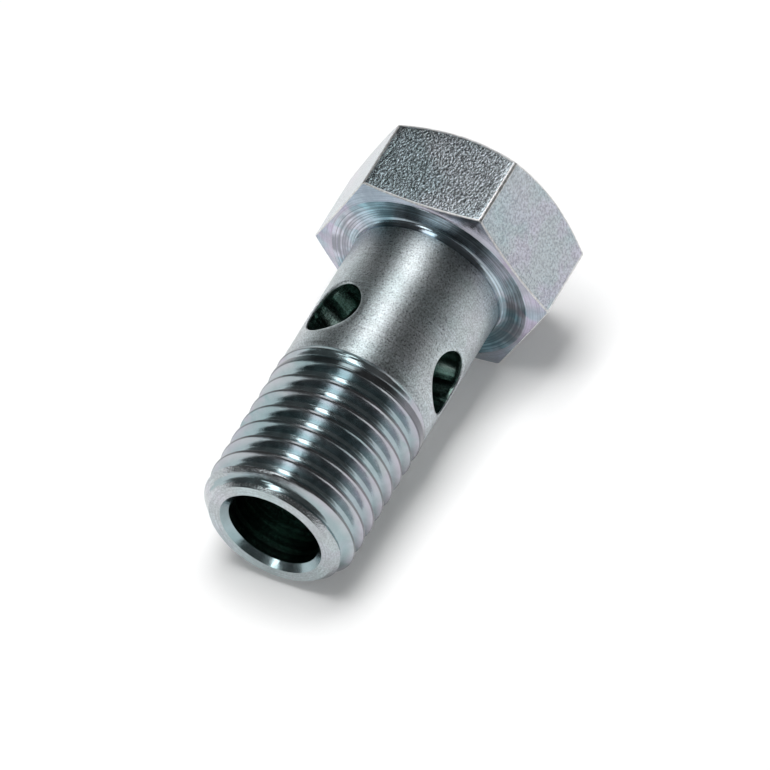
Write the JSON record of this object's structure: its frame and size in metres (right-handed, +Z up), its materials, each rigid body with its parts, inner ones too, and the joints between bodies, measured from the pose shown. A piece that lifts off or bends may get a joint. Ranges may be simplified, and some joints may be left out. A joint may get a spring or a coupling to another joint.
{
  "type": "banjo bolt",
  "caption": "Hollow hexagon-head bolt whose blind bore opens at the tip and feeds cross holes in a plain shank, to clamp a ring fitting and pass fluid through it.",
  "frame": {"origin": "centre of the lying bolt's bounding box, on the surface that it lies on", "axes": "+X along the bolt from its head to its tip, +Z up, +Y across it"},
  "size_m": [0.0282, 0.0158, 0.0143],
  "materials": {
    "zinc_plated_steel": "bright zinc plate with a thin blue passivation, fine turning marks"
  },
  "bodies": {
    "root": {"banjo_bolt": "zinc_plated_steel"}
  },
  "joints": []
}
